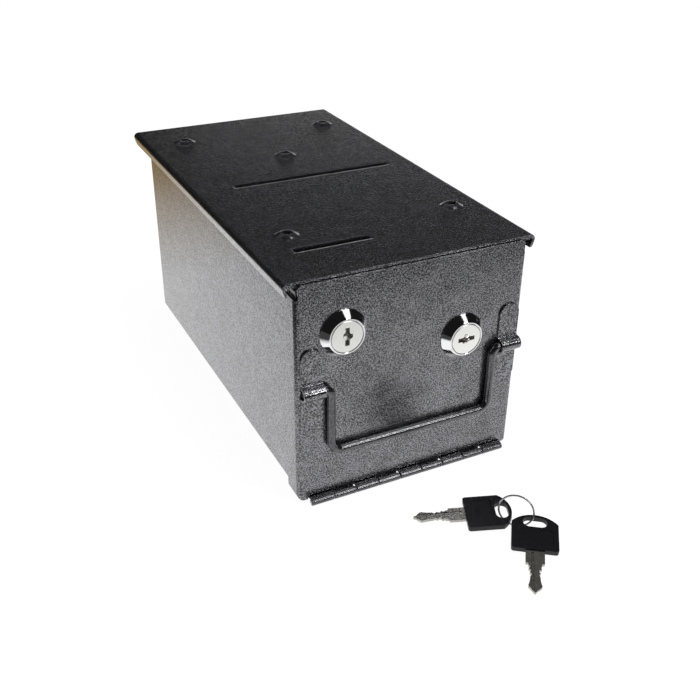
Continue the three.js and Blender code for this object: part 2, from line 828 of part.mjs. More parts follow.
function addKey(parent, name, { side, turn, wireAlong, wireAcross }) {
  const tipReach = keyHeadCrown + keyHeadSide + keyShoulderLength + keyBladeLength - keyHoleInset;
  const rise = keyLift + (keyHeadThick - keyThick) / 2;
  const angle = THREE.MathUtils.degToRad(turn);
  const wire = new THREE.Vector2(wireAlong, wireAcross).rotateAround(new THREE.Vector2(), angle);
  const hole = wireCrossing(side, keyLift + keyHeadThick / 2).sub(wire);
  const flat = addGroup(parent, hole.x, hole.y, keyLift);
  flat.rotation.z = angle;
  const leaning = addGroup(flat, 0, 0, 0);
  leaning.rotation.y = -Math.asin(rise / tipReach);
  addPiece(leaning, name + "_blade", palette.keyMetal, keyBlade());
  addPiece(leaning, name + "_head", palette.plastic, keyHead());
}

function addKeys() {
  const rest = addGroup(object, 0, hingeY, hingeZ - knuckleRadius);
  rest.rotation.x = restSlope;
  const lean = THREE.MathUtils.degToRad(ringPlace.lean);
  const rise = ringWire + ringRadius * Math.sin(lean);
  const ring = addGroup(rest, ringPlace.x, -ringPlace.ahead, rise);
  ring.rotation.set(lean, 0, THREE.MathUtils.degToRad(ringPlace.turn), "ZYX");
  addPiece(ring, "key_ring", palette.zinc, solidOf(new THREE.TorusGeometry(ringRadius, ringWire, 6, 40)));
  addKey(rest, "key_1", keyOne);
  addKey(rest, "key_2", keyTwo);
}

addPiece(object, "case_shell", palette.enamel, caseShell());
addPiece(object, "case_back", palette.enamel, caseBack());
addPiece(object, "case_top", palette.enamel, caseTop());
addPiece(object, "door_catch", palette.zinc, doorCatch());
addPiece(object, "mounting_plate", palette.enamel, mountingPlate());
addPiece(object, "door_panel", palette.enamel, doorPanel());
addPiece(object, "hinge_case_leaf", palette.enamel, hingeCaseLeaf());
addPiece(object, "hinge_door_leaf", palette.enamel, hingeDoorLeaf());
addPiece(object, "hinge_pin", palette.zinc, hingePin());
addPiece(object, "handle_strap_left", palette.enamel, handleStrap(-1));
addPiece(object, "handle_strap_right", palette.enamel, handleStrap(1));
addPiece(addGroup(object, 0, rodY, bailAxisZ), "bail_handle", palette.enamel, bailHandle());
addLock("table_lock", tableLock, tableCamReach, 0, 90);
addLock("door_lock", doorLock, doorCamReach, -90, 0);
addKeys();

export default object;
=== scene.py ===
import json
from math import atan, cos, pi, radians, sin, sqrt

import bmesh
import bpy
from mathutils import Matrix, Vector


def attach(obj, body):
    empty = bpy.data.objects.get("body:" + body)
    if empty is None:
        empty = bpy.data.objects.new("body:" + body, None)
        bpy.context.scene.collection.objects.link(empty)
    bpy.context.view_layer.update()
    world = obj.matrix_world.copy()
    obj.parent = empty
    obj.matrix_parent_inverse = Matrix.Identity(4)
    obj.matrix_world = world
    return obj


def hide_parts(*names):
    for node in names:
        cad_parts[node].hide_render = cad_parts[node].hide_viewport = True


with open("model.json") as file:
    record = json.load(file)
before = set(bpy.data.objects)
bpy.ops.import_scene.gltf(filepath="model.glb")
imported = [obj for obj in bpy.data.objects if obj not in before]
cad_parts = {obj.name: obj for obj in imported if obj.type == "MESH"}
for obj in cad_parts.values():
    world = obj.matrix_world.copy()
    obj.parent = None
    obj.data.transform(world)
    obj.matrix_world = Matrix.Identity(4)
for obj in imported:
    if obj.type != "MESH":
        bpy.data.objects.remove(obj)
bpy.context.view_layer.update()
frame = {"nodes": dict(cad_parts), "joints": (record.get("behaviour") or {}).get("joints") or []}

print("the packed model is in")

mm = 0.001  # every piece is drawn in millimetres and becomes metres when it is finished
weld = 0.0005  # points closer than this are joined
near = 0.01  # places closer than this count as the same
past = 3.0  # how far a tool reaches past what it cuts, or into what it joins
faceWeight = 60  # how strongly large faces flatten the shading of the rounded edges beside them


def jointPlace(name):
    joint = next(joint for joint in frame["joints"] if joint["name"] == name)
    return [metres / mm for metres in joint["pos_m"]]


# Shader helpers. A wrapped socket does the arithmetic, and one method makes every other node.

class Wire:
    def __init__(self, maker, socket):
        self.maker, self.socket = maker, socket

    def __add__(self, other):
        return self.maker.math("ADD", self, other)

    def __sub__(self, other):
        return self.maker.math("SUBTRACT", self, other)

    def __rsub__(self, other):
        return self.maker.math("SUBTRACT", other, self)

    def __mul__(self, other):
        return self.maker.math("MULTIPLY", self, other)

    def __truediv__(self, other):
        return self.maker.math("DIVIDE", self, other)

    def __pow__(self, other):
        return self.maker.math("POWER", self, other)

    __radd__ = __add__
    __rmul__ = __mul__


class FinishMaker:
    def __init__(self, name, tree=None):
        self.material = None if tree else bpy.data.materials.new(name)
        if self.material:
            self.material.use_nodes = True
        self.tree = tree or self.material.node_tree
        self.tree.nodes.clear()

    def feed(self, socket, value):
        if isinstance(value, Wire):
            self.tree.links.new(value.socket, socket)
        else:
            socket.default_value = value

    def node(self, kind, settings=None, inputs=None, output=0):
        made = self.tree.nodes.new(kind)
        for key, value in (settings or {}).items():
            setattr(made, key, value)
        for key, value in (inputs or {}).items():
            self.feed(made.inputs[key], value)
        return Wire(self, made.outputs[output])

    def outputs(self, kind, inputs=None):
        made = self.node(kind, {}, inputs).socket.node
        return {socket.name: Wire(self, socket) for socket in made.outputs}

    def math(self, operation, first, second=0.0):
        return self.node("ShaderNodeMath", {"operation": operation}, {0: first, 1: second})

    def clamp(self, value):
        return self.node("ShaderNodeClamp", {}, {"Value": value, "Min": 0.0, "Max": 1.0})

    # Both go from 0 to 1, the first as the value grows from the start, the second as it shrinks.
    def rise(self, value, start, span):
        return self.clamp((value - start) / span)

    def fall(self, value, start, span):
        return self.clamp((start - value) / span)

    def mix(self, factor, first, second):
        return self.node("ShaderNodeMix", {"data_type": "RGBA"}, {0: factor, 6: first, 7: second}, 2)

    def place(self):
        return self.node("ShaderNodeTexCoord", {}, {}, "Object")

    def moved(self, vector, location=(0, 0, 0), turn=(0, 0, 0), scale=(1, 1, 1)):
        inputs = {"Vector": vector, "Location": location, "Rotation": turn, "Scale": scale}
        return self.node("ShaderNodeMapping", {"vector_type": "POINT"}, inputs)

    def noise(self, vector, grain, detail=2.0, roughness=0.5):
        inputs = {"Vector": vector, "Scale": 1 / (grain * mm), "Detail": detail, "Roughness": roughness}
        return self.node("ShaderNodeTexNoise", {}, inputs, "Fac")

    def cells(self, vector, grain, smoothness):
        inputs = {"Vector": vector, "Scale": 1 / (grain * mm), "Smoothness": smoothness}
        return self.node("ShaderNodeTexVoronoi", {"feature": "SMOOTH_F1"}, inputs, "Distance")

    def bump(self, height, depth):
        return self.node("ShaderNodeBump", {}, {"Height": height, "Distance": depth * mm, "Strength": 1.0})

    def glowing(self, colour, strength):
        return self.node("ShaderNodeEmission", {}, {"Color": colour, "Strength": strength})

    def shade(self, **inputs):
        named = {key.replace("_", " "): value for key, value in inputs.items()}
        self.close(self.node("ShaderNodeBsdfPrincipled", {}, named))
        return self.material

    def close(self, shader, kind="ShaderNodeOutputMaterial"):
        out = self.tree.nodes.new(kind)
        self.tree.links.new(shader.socket, out.inputs["Surface"])


# The hammertone paint: metal flakes in a dark binder, over a pebbled surface. Grains are in millimetres.

enamelLook = {
    "deep": (0.034, 0.034, 0.038, 1),
    "flake": (0.268, 0.269, 0.288, 1),
    "speckle": 0.72,  # size of the flakes
    "ragged": 0.55,
    "contrast": 8.0,
    "share": 0.5,  # how much of the paint stays deep
    "drift": 9,  # size of the patches where that share changes
    "driftWeight": 0.12,
    "pebble": 1.15,  # size of the hammered domes
    "pebbleSoft": 0.35,
    "domeTop": 1.15,
    "domeFall": 1.5,
    "domeRise": 0.7,
    "grainRise": 0.6,
    "depth": 0.1,  # height of the whole relief
    "metallic": 0.92,
    "smooth": 0.13,
    "deepRough": 0.1,
    "driftRough": 0.05,
    "ior": 1.8,
    "coat": 0.55,
    "coatRough": 0.08,
}
shadedRodLook = {  # thin parts, where the paint flows smoother, with its flakes darkened as painted shade
    **enamelLook,
    "deep": (0.035, 0.035, 0.038, 1),
    "flake": (0.13, 0.13, 0.138, 1),
    "contrast": 4.0,
    "depth": 0.02,
    "smooth": 0.1,
    "coat": 0.6,
}


def hammerEnamel(name, look):
    make = FinishMaker(name)
    place = make.place()
    drift = make.noise(place, look["drift"])
    pebbles = make.cells(place, look["pebble"], look["pebbleSoft"])
    grain = make.noise(place, look["speckle"], roughness=look["ragged"])
    spread = grain + (drift - 0.5) * look["driftWeight"] - look["share"]
    flake = make.clamp(spread * look["contrast"] + 0.5)
    domes = make.clamp(look["domeTop"] - pebbles * look["domeFall"])
    return make.shade(
        Base_Color=make.mix(flake, look["deep"], look["flake"]),
        Metallic=look["metallic"],
        Roughness=look["smooth"] + (1 - flake) * look["deepRough"] + drift * look["driftRough"],
        IOR=look["ior"],
        Coat_Weight=look["coat"],
        Coat_Roughness=look["coatRough"],
        Normal=make.bump(domes * look["domeRise"] + grain * look["grainRise"], look["depth"]),
    )


# The metals.

chromeLook = {
    "dull": (0.86, 0.86, 0.88, 1), "bright": (0.93, 0.93, 0.94, 1), "smudge": 6, "smudgeRise": 2,
    "line": 0.5, "streak": (1, 6, 1), "smooth": 0.035, "smudgeRough": 0.05, "depth": 0.003,
}


def mirrorChrome(name, look):
    make = FinishMaker(name)
    place = make.place()
    smudge = make.noise(place, look["smudge"], detail=3, roughness=0.6)
    fine = make.noise(make.moved(place, scale=look["streak"]), look["line"])
    return make.shade(
        Base_Color=make.mix(smudge, look["dull"], look["bright"]),
        Metallic=1.0,
        Roughness=look["smooth"] + smudge * look["smudgeRough"],
        Normal=make.bump(fine + smudge * look["smudgeRise"], look["depth"]),
    )


platedLook = {  # what the plated metals share
    "cloudTone": 0.7, "lineTone": 0.5, "tone": 0.1, "cloudRough": 0.1, "lineRough": 0.12, "cloudRise": 0.5,
    "stain": 14, "depth": 0.006, "metallic": 1.0,
}
zincLook = {
    **platedLook, "dull": (0.5, 0.51, 0.53, 1), "bright": (0.7, 0.71, 0.73, 1), "smooth": 0.26,
    "streak": (1, 3, 1), "line": 0.9, "metallic": 0.55,
}
wireLook = {
    **platedLook, "dull": (0.36, 0.36, 0.37, 1), "bright": (0.62, 0.62, 0.63, 1), "smooth": 0.18,
    "streak": (1, 1, 4), "line": 0.5,
}
bladeLook = {
    **platedLook, "dull": (0.2, 0.19, 0.175, 1), "bright": (0.68, 0.66, 0.61, 1), "smooth": 0.16,
    "streak": (1, 4, 1), "line": 0.7, "stain": 3, "depth": 0.02,
}


def platedMetal(name, look):
    make = FinishMaker(name)
    place = make.place()
    cloud = make.noise(place, look["stain"], detail=4, roughness=0.6)
    lines = make.noise(make.moved(place, scale=look["streak"]), look["line"], detail=3, roughness=0.65)
    tone = make.clamp(cloud * look["cloudTone"] + lines * look["lineTone"] - look["tone"])
    return make.shade(
        Base_Color=make.mix(tone, look["dull"], look["bright"]),
        Metallic=look["metallic"],
        Roughness=look["smooth"] + cloud * look["cloudRough"] + lines * look["lineRough"],
        Normal=make.bump(lines + cloud * look["cloudRise"], look["depth"]),
    )


faceLook = {
    "dull": (0.95, 0.95, 0.91, 1), "bright": (0.99, 0.99, 0.95, 1), "cloud": 5,
    "rings": 5200.0, "smooth": 0.2, "ringRough": 0.12, "cloudRough": 0.08, "depth": 0.004,
}


def turnedFace(name, look, centre):
    make = FinishMaker(name)
    place = make.moved(make.place(), location=tuple(-c * mm for c in centre))
    parts = make.outputs("ShaderNodeSeparateXYZ", {"Vector": place})
    radius = make.math("SQRT", parts["X"] * parts["X"] + parts["Z"] * parts["Z"])
    inputs = {"W": radius, "Scale": look["rings"], "Detail": 3.0}
    rings = make.node("ShaderNodeTexNoise", {"noise_dimensions": "1D"}, inputs, "Fac")
    cloud = make.noise(place, look["cloud"], detail=3)
    return make.shade(
        Base_Color=make.mix(cloud, look["dull"], look["bright"]),
        Metallic=1.0,
        Roughness=look["smooth"] + rings * look["ringRough"] + cloud * look["cloudRough"],
        Normal=make.bump(rings, look["depth"]),
    )


# The plastic of the key heads, scuffed by use.

plasticLook = {
    "fresh": (0.0025, 0.0025, 0.004, 1), "worn": (0.009, 0.009, 0.012, 1), "grain": 0.28,
    "scuff": 2.4, "scuffTurn": (0, 0, 0.6), "scuffStreak": (1, 5, 1), "wornGain": 3, "wornLevel": 1.7,
    "smooth": 0.36, "grainRough": 0.14, "wornRough": 0.1, "ior": 1.45, "scuffRise": 0.4, "depth": 0.03,
}


def mouldedPlastic(name, look):
    make = FinishMaker(name)
    place = make.place()
    grain = make.noise(place, look["grain"], detail=3, roughness=0.6)
    streaked = make.moved(place, turn=look["scuffTurn"], scale=look["scuffStreak"])
    scuff = make.noise(streaked, look["scuff"], detail=4, roughness=0.7)
    worn = make.clamp(scuff * look["wornGain"] - look["wornLevel"])
    return make.shade(
        Base_Color=make.mix(worn, look["fresh"], look["worn"]),
        Roughness=look["smooth"] + grain * look["grainRough"] + worn * look["wornRough"],
        IOR=look["ior"],
        Normal=make.bump(grain + scuff * look["scuffRise"], look["depth"]),
    )


enamel = hammerEnamel("hammerEnamel", enamelLook)
# The rods and hinge leaves wear a darker copy of the paint, whose dimmer flakes are painted shade.
shadedRodEnamel = hammerEnamel("hammerEnamelShadedRod", shadedRodLook)
chrome = mirrorChrome("mirrorChrome", chromeLook)
zinc = platedMetal("zincPlate", zincLook)
ringSteel = platedMetal("drawnWire", wireLook)
keyMetal = platedMetal("dulledNickel", bladeLook)
plastic = mouldedPlastic("mouldedPlastic", plasticLook)
print("finishes are mixed")


# Modelling helpers. They take and return working meshes in millimetres.

def onlyVerts(geom):
    return [part for part in geom if isinstance(part, bmesh.types.BMVert)]


def walk(bm, geom, at, heading, normal, moves, steps=8):
    # A move is a straight run (length,) or a bend (degrees, radius of the walked line).
    at, heading, normal = Vector(at), Vector(heading), Vector(normal)
    for move in moves:
        straight = len(move) == 1
        if straight:
            step, centre, angle, count = heading * move[0], at, 0.0, 1
        else:
            angle, step, count = radians(move[0]), Vector(), steps
            centre = at + normal.cross(heading) * (move[1] if angle > 0 else -move[1])
        if straight or move[1] > 0:
            made = bmesh.ops.spin(
                bm, geom=geom, cent=centre, axis=normal, dvec=step, angle=angle, steps=count,
                use_merge=False, use_normal_flip=False, use_duplicate=False,
            )
            geom = made["geom_last"]
        turn = Matrix.Rotation(angle, 3, normal)
        at = centre + turn @ (at - centre) + step
        heading = turn @ heading


def bentSheet(start, heading, normal, moves, length, steps=8):
    bm = bmesh.new()
    first = bmesh.ops.create_vert(bm, co=start)["vert"]
    walk(bm, first, start, heading, normal, moves, steps)
    pulled = onlyVerts(bmesh.ops.extrude_edge_only(bm, edges=bm.edges[:])["geom"])
    bmesh.ops.translate(bm, vec=Vector(normal) * length, verts=pulled)
    return bm


def eased(bm, geom, offset, segments, affect="EDGES"):
    bmesh.ops.bevel(
        bm, geom=geom, offset=offset, offset_type="OFFSET", segments=segments,
        affect=affect, profile=0.5, material=-1, clamp_overlap=True,
    )


def block(bm, x, y, z, axis=None, radius=0.0, segments=8):
    # A box whose edges that run along the axis are rounded.
    verts = bmesh.ops.create_cube(bm, size=1)["verts"]
    bmesh.ops.scale(bm, vec=(x[1] - x[0], y[1] - y[0], z[1] - z[0]), verts=verts)
    bmesh.ops.translate(bm, vec=((x[0] + x[1]) / 2, (y[0] + y[1]) / 2, (z[0] + z[1]) / 2), verts=verts)
    if axis is not None:
        edges = {edge for vert in verts for edge in vert.link_edges}
        along = [e for e in edges if abs((e.verts[0].co - e.verts[1].co).normalized()[axis]) > 1 - near]
        eased(bm, along, radius, segments)
    return bm


def spun(bm, geom, centre, axis, spokes):
    bmesh.ops.spin(
        bm, geom=geom, cent=centre, axis=axis, dvec=(0, 0, 0), angle=2 * pi, steps=spokes,
        use_merge=True, use_normal_flip=False, use_duplicate=False,
    )
    bmesh.ops.remove_doubles(bm, verts=bm.verts[:], dist=weld)
    bmesh.ops.recalc_face_normals(bm, faces=bm.faces[:])
    return bm


def turned(bm, outline, centre, axis, spokes=64):
    # Spins an outline of (radius, place along the axis) about the named axis through the centre.
    along = Vector([1.0 if i == axis else 0.0 for i in range(3)])
    out = Vector((0, 0, 1)) if axis != 2 else Vector((1, 0, 0))
    verts = [bm.verts.new(Vector(centre) + out * r + along * s) for r, s in outline]
    edges = [bm.edges.new(pair) for pair in zip(verts, verts[1:])]
    return spun(bm, verts + edges, centre, along, spokes)


def drum(radius, low, high):
    return [(0, low), (radius, low), (radius, high), (0, high)]


def extruded(bm, vec):
    grown = onlyVerts(bmesh.ops.extrude_face_region(bm, geom=bm.faces[:])["geom"])
    bmesh.ops.translate(bm, vec=vec, verts=grown)
    bmesh.ops.recalc_face_normals(bm, faces=bm.faces[:])
    return bm


def placed(name, data):
    thing = bpy.data.objects.new(name, data)
    bpy.context.scene.collection.objects.link(thing)
    return thing


def meshFrom(bm, name):
    mesh = bpy.data.meshes.new(name)
    bm.to_mesh(mesh)
    bm.free()
    return mesh


def reworked(bm, kind, settings):
    # Runs a modifier over a working mesh and hands the result back as a new one.
    piece = placed("working", meshFrom(bm, "working"))
    step = piece.modifiers.new(kind, kind)
    for key, value in settings.items():
        setattr(step, key, value)
    shown = piece.evaluated_get(bpy.context.evaluated_depsgraph_get())
    made = bmesh.new()
    made.from_mesh(shown.to_mesh())
    shown.to_mesh_clear()
    bpy.data.meshes.remove(piece.data)
    return made


def cutWith(bm, tool, operation="DIFFERENCE"):
    cutter = placed("cutter", meshFrom(tool, "cutter"))
    made = reworked(bm, "BOOLEAN", {"object": cutter, "operation": operation, "solver": "EXACT"})
    bpy.data.meshes.remove(cutter.data)
    bmesh.ops.dissolve_degenerate(made, dist=weld, edges=made.edges[:])
    return made


def thickened(bm, gauge, side=-1.0):
    bmesh.ops.remove_doubles(bm, verts=bm.verts[:], dist=weld)
    bmesh.ops.recalc_face_normals(bm, faces=bm.faces[:])
    return reworked(bm, "SOLIDIFY", {"thickness": gauge, "offset": side, "use_even_offset": True})


def mirroredX(bm):
    bmesh.ops.mirror(bm, geom=bm.verts[:] + bm.edges[:] + bm.faces[:], axis="X", merge_dist=2 * weld)
    return bm


def joinMeshes(whole, part):
    spare = meshFrom(part, "spare")
    whole.from_mesh(spare)
    bpy.data.meshes.remove(spare)
    return whole


def pieceName(node):
    first, *rest = node.split("_")
    return first + "".join(word.capitalize() for word in rest)


def finishPiece(node, bm, body, finish, edge=0.0, segments=2, limit=34, stand=None):
    # Dresses a working mesh as the piece that stands in for a CAD node, its edges rounded past the limit.
    if stand is not None:
        bmesh.ops.transform(bm, matrix=stand, verts=bm.verts[:])
    bmesh.ops.scale(bm, vec=(mm, mm, mm), verts=bm.verts[:])
    mesh = meshFrom(bm, pieceName(node))
    mesh.shade_smooth()
    mesh.materials.append(finish)
    piece = placed(mesh.name, mesh)
    if edge:
        ease = piece.modifiers.new("ease", "BEVEL")
        ease.width, ease.segments, ease.limit_method = edge * mm, segments, "ANGLE"
        ease.angle_limit, ease.use_clamp_overlap = radians(limit), True
    else:
        mesh.set_sharp_from_angle(angle=radians(limit))
    level = piece.modifiers.new("level", "WEIGHTED_NORMAL")
    level.keep_sharp, level.weight = True, faceWeight
    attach(piece, body)
    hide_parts(node)
    print("made", piece.name)


# The folded case, with a flange along the top of each wall that stops short of the rear.

shellLook = {
    "halfWidth": 68.0, "front": -127.0, "rear": 127.0, "flangeEnd": 114.5, "gauge": 1.5,
    "bend": 4.0, "seamBend": 3.0, "wallTop": 129.4, "seam": 8.5,
}


def makeShell(look):
    half, bend, seam, flangeEnd = look["halfWidth"], look["bend"], look["seamBend"], look["flangeEnd"]
    up = [(half - bend,), (90, bend), (look["wallTop"] - bend - seam,)]
    over = up + [(90, seam), (look["seam"],)]
    folded = bentSheet((0, flangeEnd, 0), (1, 0, 0), (0, -1, 0), over, flangeEnd - look["front"])
    tail = bentSheet((0, look["rear"], 0), (1, 0, 0), (0, -1, 0), up + [(seam,)], look["rear"] - flangeEnd)
    bm = thickened(mirroredX(joinMeshes(folded, tail)), look["gauge"])
    finishPiece("case_shell", bm, "case", enamel, edge=0.3)


makeShell(shellLook)


# The mounting plate, with punched slots whose top edges are rolled in and five raised dimples.

plateLook = {
    "halfWidth": 75.01, "top": 132.7, "foot": 124.5, "front": -127.6, "rear": 140.4, "gauge": 1.5,
    "bend": 3.0, "turn": 106, "corner": 3.0, "cornerDrop": 1.0, "lip": 0.7,
    "slots": [((-48.5, 56.5), (7.3, 12.3)), ((-53.9, -8.9), (-95.1, -90.1))], "slotCorner": 1.0,
    "roll": [(0.12, 0.2), (0.16, 0.24), (0.2, 0.264)],  # each cut's slope, and its depth at the slot
    "dimples": [(-49.3, -73.3), (54.7, -73.3), (2.7, 51.1), (-49.3, 104.4), (54.7, 104.4)],
    "dimpleRadius": 7.4, "dimpleRise": 2.0, "rim": 3.6, "hole": 2.6, "overlap": 0.3,
    "straight": 0.2, "inside": 0.5, "steps": 7,
}


def dimpleOutline(look):
    # The slope from the rim to the plate is part straight and part an S, and its underside follows it.
    top, gauge, rise, steps = look["top"], look["gauge"], look["dimpleRise"], look["steps"]
    reach, straight = look["dimpleRadius"] - look["rim"], look["straight"]
    fall = []
    for i in range(steps + 1):
        t = i / steps
        fall.append((t, rise * ((1 - t) * straight + (1 - t * t * (3 - 2 * t)) * (1 - straight))))
    over = [(look["rim"] + reach * t, top + drop) for t, drop in fall]
    under = [(look["rim"] - look["inside"] + reach * t, top - gauge + drop) for t, drop in fall]
    lip = [(look["hole"], under[0][1]), (look["hole"], top + rise)]
    return lip + over + [(look["dimpleRadius"], top - gauge)] + under[::-1] + lip[:1]


def flared(span, foot, slope, corner):
    # A block over an opening whose four walls lean outwards, for the roll that a punch leaves.
    bm = block(bmesh.new(), *span, (foot, foot + 1), axis=2, radius=corner, segments=5)
    for vert in bm.verts:
        if vert.co.z > foot + near:
            for axis, (low, high) in enumerate(span):
                vert.co[axis] += (1 if vert.co[axis] * 2 > low + high else -1) / slope
    return bm


def plateSheet(look):
    half, bend, turn, top = look["halfWidth"], look["bend"], look["turn"], look["top"]
    front, rear, corner = look["front"], look["rear"], look["corner"]
    drop = top - bend + bend * cos(radians(turn)) - look["foot"]
    moves = [(half - bend,), (turn, bend), (drop / sin(radians(turn)),)]
    sheet = bentSheet((0, front, top), (1, 0, 0), (0, 1, 0), moves, rear - front, 10)
    bm = thickened(mirroredX(sheet), look["gauge"])
    wide, high = (-half - past, half + past), (look["foot"] - look["cornerDrop"], top + 3 * corner)
    bm = cutWith(bm, block(bmesh.new(), wide, (front, rear), high, axis=0, radius=corner), "INTERSECT")
    ends = [e for e in bm.edges if all(abs(v.co.y - front) < near for v in e.verts)]
    corners = [e for e in ends if e.calc_face_angle(0) > radians(60)]
    eased(bm, corners, look["lip"], 4)
    return bm


def makePlate(look):
    bm, top, radius = plateSheet(look), look["top"], look["dimpleRadius"]
    punch = bmesh.new()
    for x, y in look["slots"]:
        block(punch, x, y, (top - past, top + past), axis=2, radius=look["slotCorner"], segments=5)
    bm = cutWith(bm, punch)
    for slot in look["slots"]:
        for slope, depth in look["roll"]:
            bm = cutWith(bm, flared(slot, top - depth, slope, look["slotCorner"]))
    for x, y in look["dimples"]:
        bore = turned(bmesh.new(), drum(radius - look["overlap"], -past, past), (x, y, top), 2)
        raised = turned(bmesh.new(), dimpleOutline(look), (x, y, 0), 2)
        bm = cutWith(cutWith(bm, bore), raised, "UNION")
    finishPiece("mounting_plate", bm, "plate", enamel, edge=0.4, segments=3)


makePlate(plateLook)


# The door pan and its piano hinge.

doorLook = {
    "halfWidth": 69.6, "face": -129.5, "gauge": 1.2, "bend": 3.2, "rear": -115.6, "foot": -2.0,
    "flangeTop": 123.1, "top": 130.8, "corner": 4.0, "tabHalf": 67.6, "tabCorner": 2.0, "tabRoot": 8.0,
    "notchTop": 0.5, "notchMargin": 0.35, "notchCorner": 0.7, "lockHole": 9.7,
}
hingeLook = {
    "axis": jointPlace("door_hinge")[1:], "half": 63.5, "knuckles": 9, "gap": 0.5,
    "radius": 2.1, "bore": 1.2, "ease": 0.25,
    "gauge": 0.9, "leafFront": -127.0, "leafRear": -113.0, "leafCorner": 2.0, "doorLeafTop": 12.5,
    "clear": 2.4, "lap": 0.4, "fillet": 0.3, "webFront": 1.6, "webRise": 1.0,
}
lockLook = {
    "turns": {"table_lock": 0, "door_lock": -90},  # how each keyway stands, in degrees
    "body": 9.4, "flat": 8.0, "reach": 35.5, "bezel": 13.6, "land": 10.5, "proud": 5.0, "fit": 0.2,
    "tailEase": 0.5, "rim": 0.7, "rimEase": (0.35, 0.45), "recessEase": 0.15,
    "brow": [(0.25, 0.75), (0.0, 0.35), (-0.45, 0.0)],  # how the cone rolls over into the land
    "short": 0.001,  # the flats stop this far behind the bezel
    "plugHead": 9.1, "plugDepth": 2.8, "plug": 6.5, "plugEase": [(-0.35, 0.0), (-0.1, 0.12), (0.0, 0.35)],
    "square": 4.0, "stubRoot": 1.0, "stub": 2.3,
    "keyway": [
        (-1.25, 5.7), (1.25, 5.7), (1.25, 3.1), (1.7, 2.0), (3.1, 1.7), (3.1, -0.4), (1.35, -1.4),
        (1.25, -4.7), (-1.25, -4.7), (-1.25, -1.7), (-2.3, 0.5), (-2.3, 2.5), (-1.25, 3.2),
    ],
    "keywayDrop": 0.5, "keywayDepth": 13.0,
    "wafers": 4, "waferFront": 2.4, "waferPitch": 1.5, "waferGauge": 0.7, "waferCorner": 0.3,
    "waferX": (-0.8, 1.0), "waferZ": (-3.4, -0.6), "waferCreep": (0.2, 0.3), "waferStagger": (0.25, 0.5),
}


def knuckle(look, i):
    pitch = 2 * look["half"] / look["knuckles"]
    left = -look["half"] + i * pitch
    return left + look["gap"] / 2, left + pitch - look["gap"] / 2


def doorPan(look):
    half, bend, face, corner = look["halfWidth"], look["bend"], look["face"], look["corner"]
    moves = [(half - bend,), (90, bend), (look["rear"] - face - bend,)]
    height, tabHalf = look["flangeTop"] - look["foot"], look["tabHalf"]
    pan = bentSheet((0, face, look["foot"]), (1, 0, 0), (0, 0, 1), moves, height)
    bm = thickened(mirroredX(pan), look["gauge"])
    deep, high = (face, face + look["gauge"]), (look["flangeTop"] - look["tabRoot"], look["top"])
    tab = block(bmesh.new(), (-tabHalf, tabHalf), deep, high, axis=1, radius=look["tabCorner"])
    high = (look["foot"], look["top"] + 5 * corner)
    front = block(bmesh.new(), (-half, half), (face - past, look["rear"] + past), high, axis=1, radius=corner)
    wide, deep = (-half - past, half + past), (face - 2 * corner, look["rear"])
    side = block(bmesh.new(), wide, deep, high, axis=0, radius=corner)
    return cutWith(cutWith(cutWith(bm, tab, "UNION"), front, "INTERSECT"), side, "INTERSECT")


def makeDoor(look):
    face, margin = look["face"], look["notchMargin"]
    deep, high = (face - past, face + past), (look["foot"] - past, look["notchTop"])
    tool = bmesh.new()
    for i in range(0, hingeLook["knuckles"], 2):
        x0, x1 = knuckle(hingeLook, i)
        block(tool, (x0 - margin, x1 + margin), deep, high, axis=1, radius=look["notchCorner"], segments=3)
    for lock in lockLook["turns"]:
        turned(tool, drum(look["lockHole"], -past, past), jointPlace(lock + "_turn"), 1, 48)
    finishPiece("door_panel", cutWith(doorPan(look), tool), "door", enamel, edge=0.25)


def hingeBarrels(look, knuckles):
    y, z = look["axis"]
    bore, radius, ease = look["bore"], look["radius"], look["ease"]
    bm = bmesh.new()
    for i in knuckles:
        x0, x1 = knuckle(look, i)
        outline = [
            (bore, x0), (radius - ease, x0), (radius, x0 + ease), (radius, x1 - ease), (radius - ease, x1),
            (bore, x1), (bore, x0),
        ]
        turned(bm, outline, (0, y, z), 0, 40)
    return bm


def makeCaseLeaf(look):
    y, front, flat = look["axis"][0], look["leafFront"] + look["lap"], (-look["gauge"], 0)
    knuckles = range(0, look["knuckles"], 2)
    bm = hingeBarrels(look, knuckles)
    for i in knuckles:
        x0, x1 = knuckle(look, i)
        block(bm, (x0, x1), (y, front), flat)
        block(bm, (x0 - look["fillet"], x1 + look["fillet"]), (y + look["clear"], front), flat)
    end = look["half"] - look["gap"] / 2
    block(bm, (-end, end), (look["leafFront"], look["leafRear"]), flat, axis=2, radius=look["leafCorner"])
    finishPiece("hinge_case_leaf", bm, "case", shadedRodEnamel, edge=0.12)


def makeDoorLeaf(look):
    inner, foot = doorLook["face"] + doorLook["gauge"], doorLook["foot"]
    notchTop, low = doorLook["notchTop"], foot - look["gauge"]
    sheet = (inner, inner + look["gauge"])
    knuckles = range(1, look["knuckles"] - 1, 2)
    bm = hingeBarrels(look, knuckles)
    for i in knuckles:
        block(bm, knuckle(look, i), (look["axis"][0] + look["webFront"], sheet[1]), (low, foot))
        block(bm, knuckle(look, i), sheet, (low, notchTop + look["webRise"]))
    wide = (knuckle(look, knuckles[0])[0], knuckle(look, knuckles[-1])[1])
    block(bm, wide, sheet, (notchTop, look["doorLeafTop"]), axis=1, radius=look["leafCorner"])
    finishPiece("hinge_door_leaf", bm, "door", shadedRodEnamel, edge=0.12)


makeDoor(doorLook)
makeCaseLeaf(hingeLook)
makeDoorLeaf(hingeLook)


# The straps and the bail that hangs in their rolled loops.

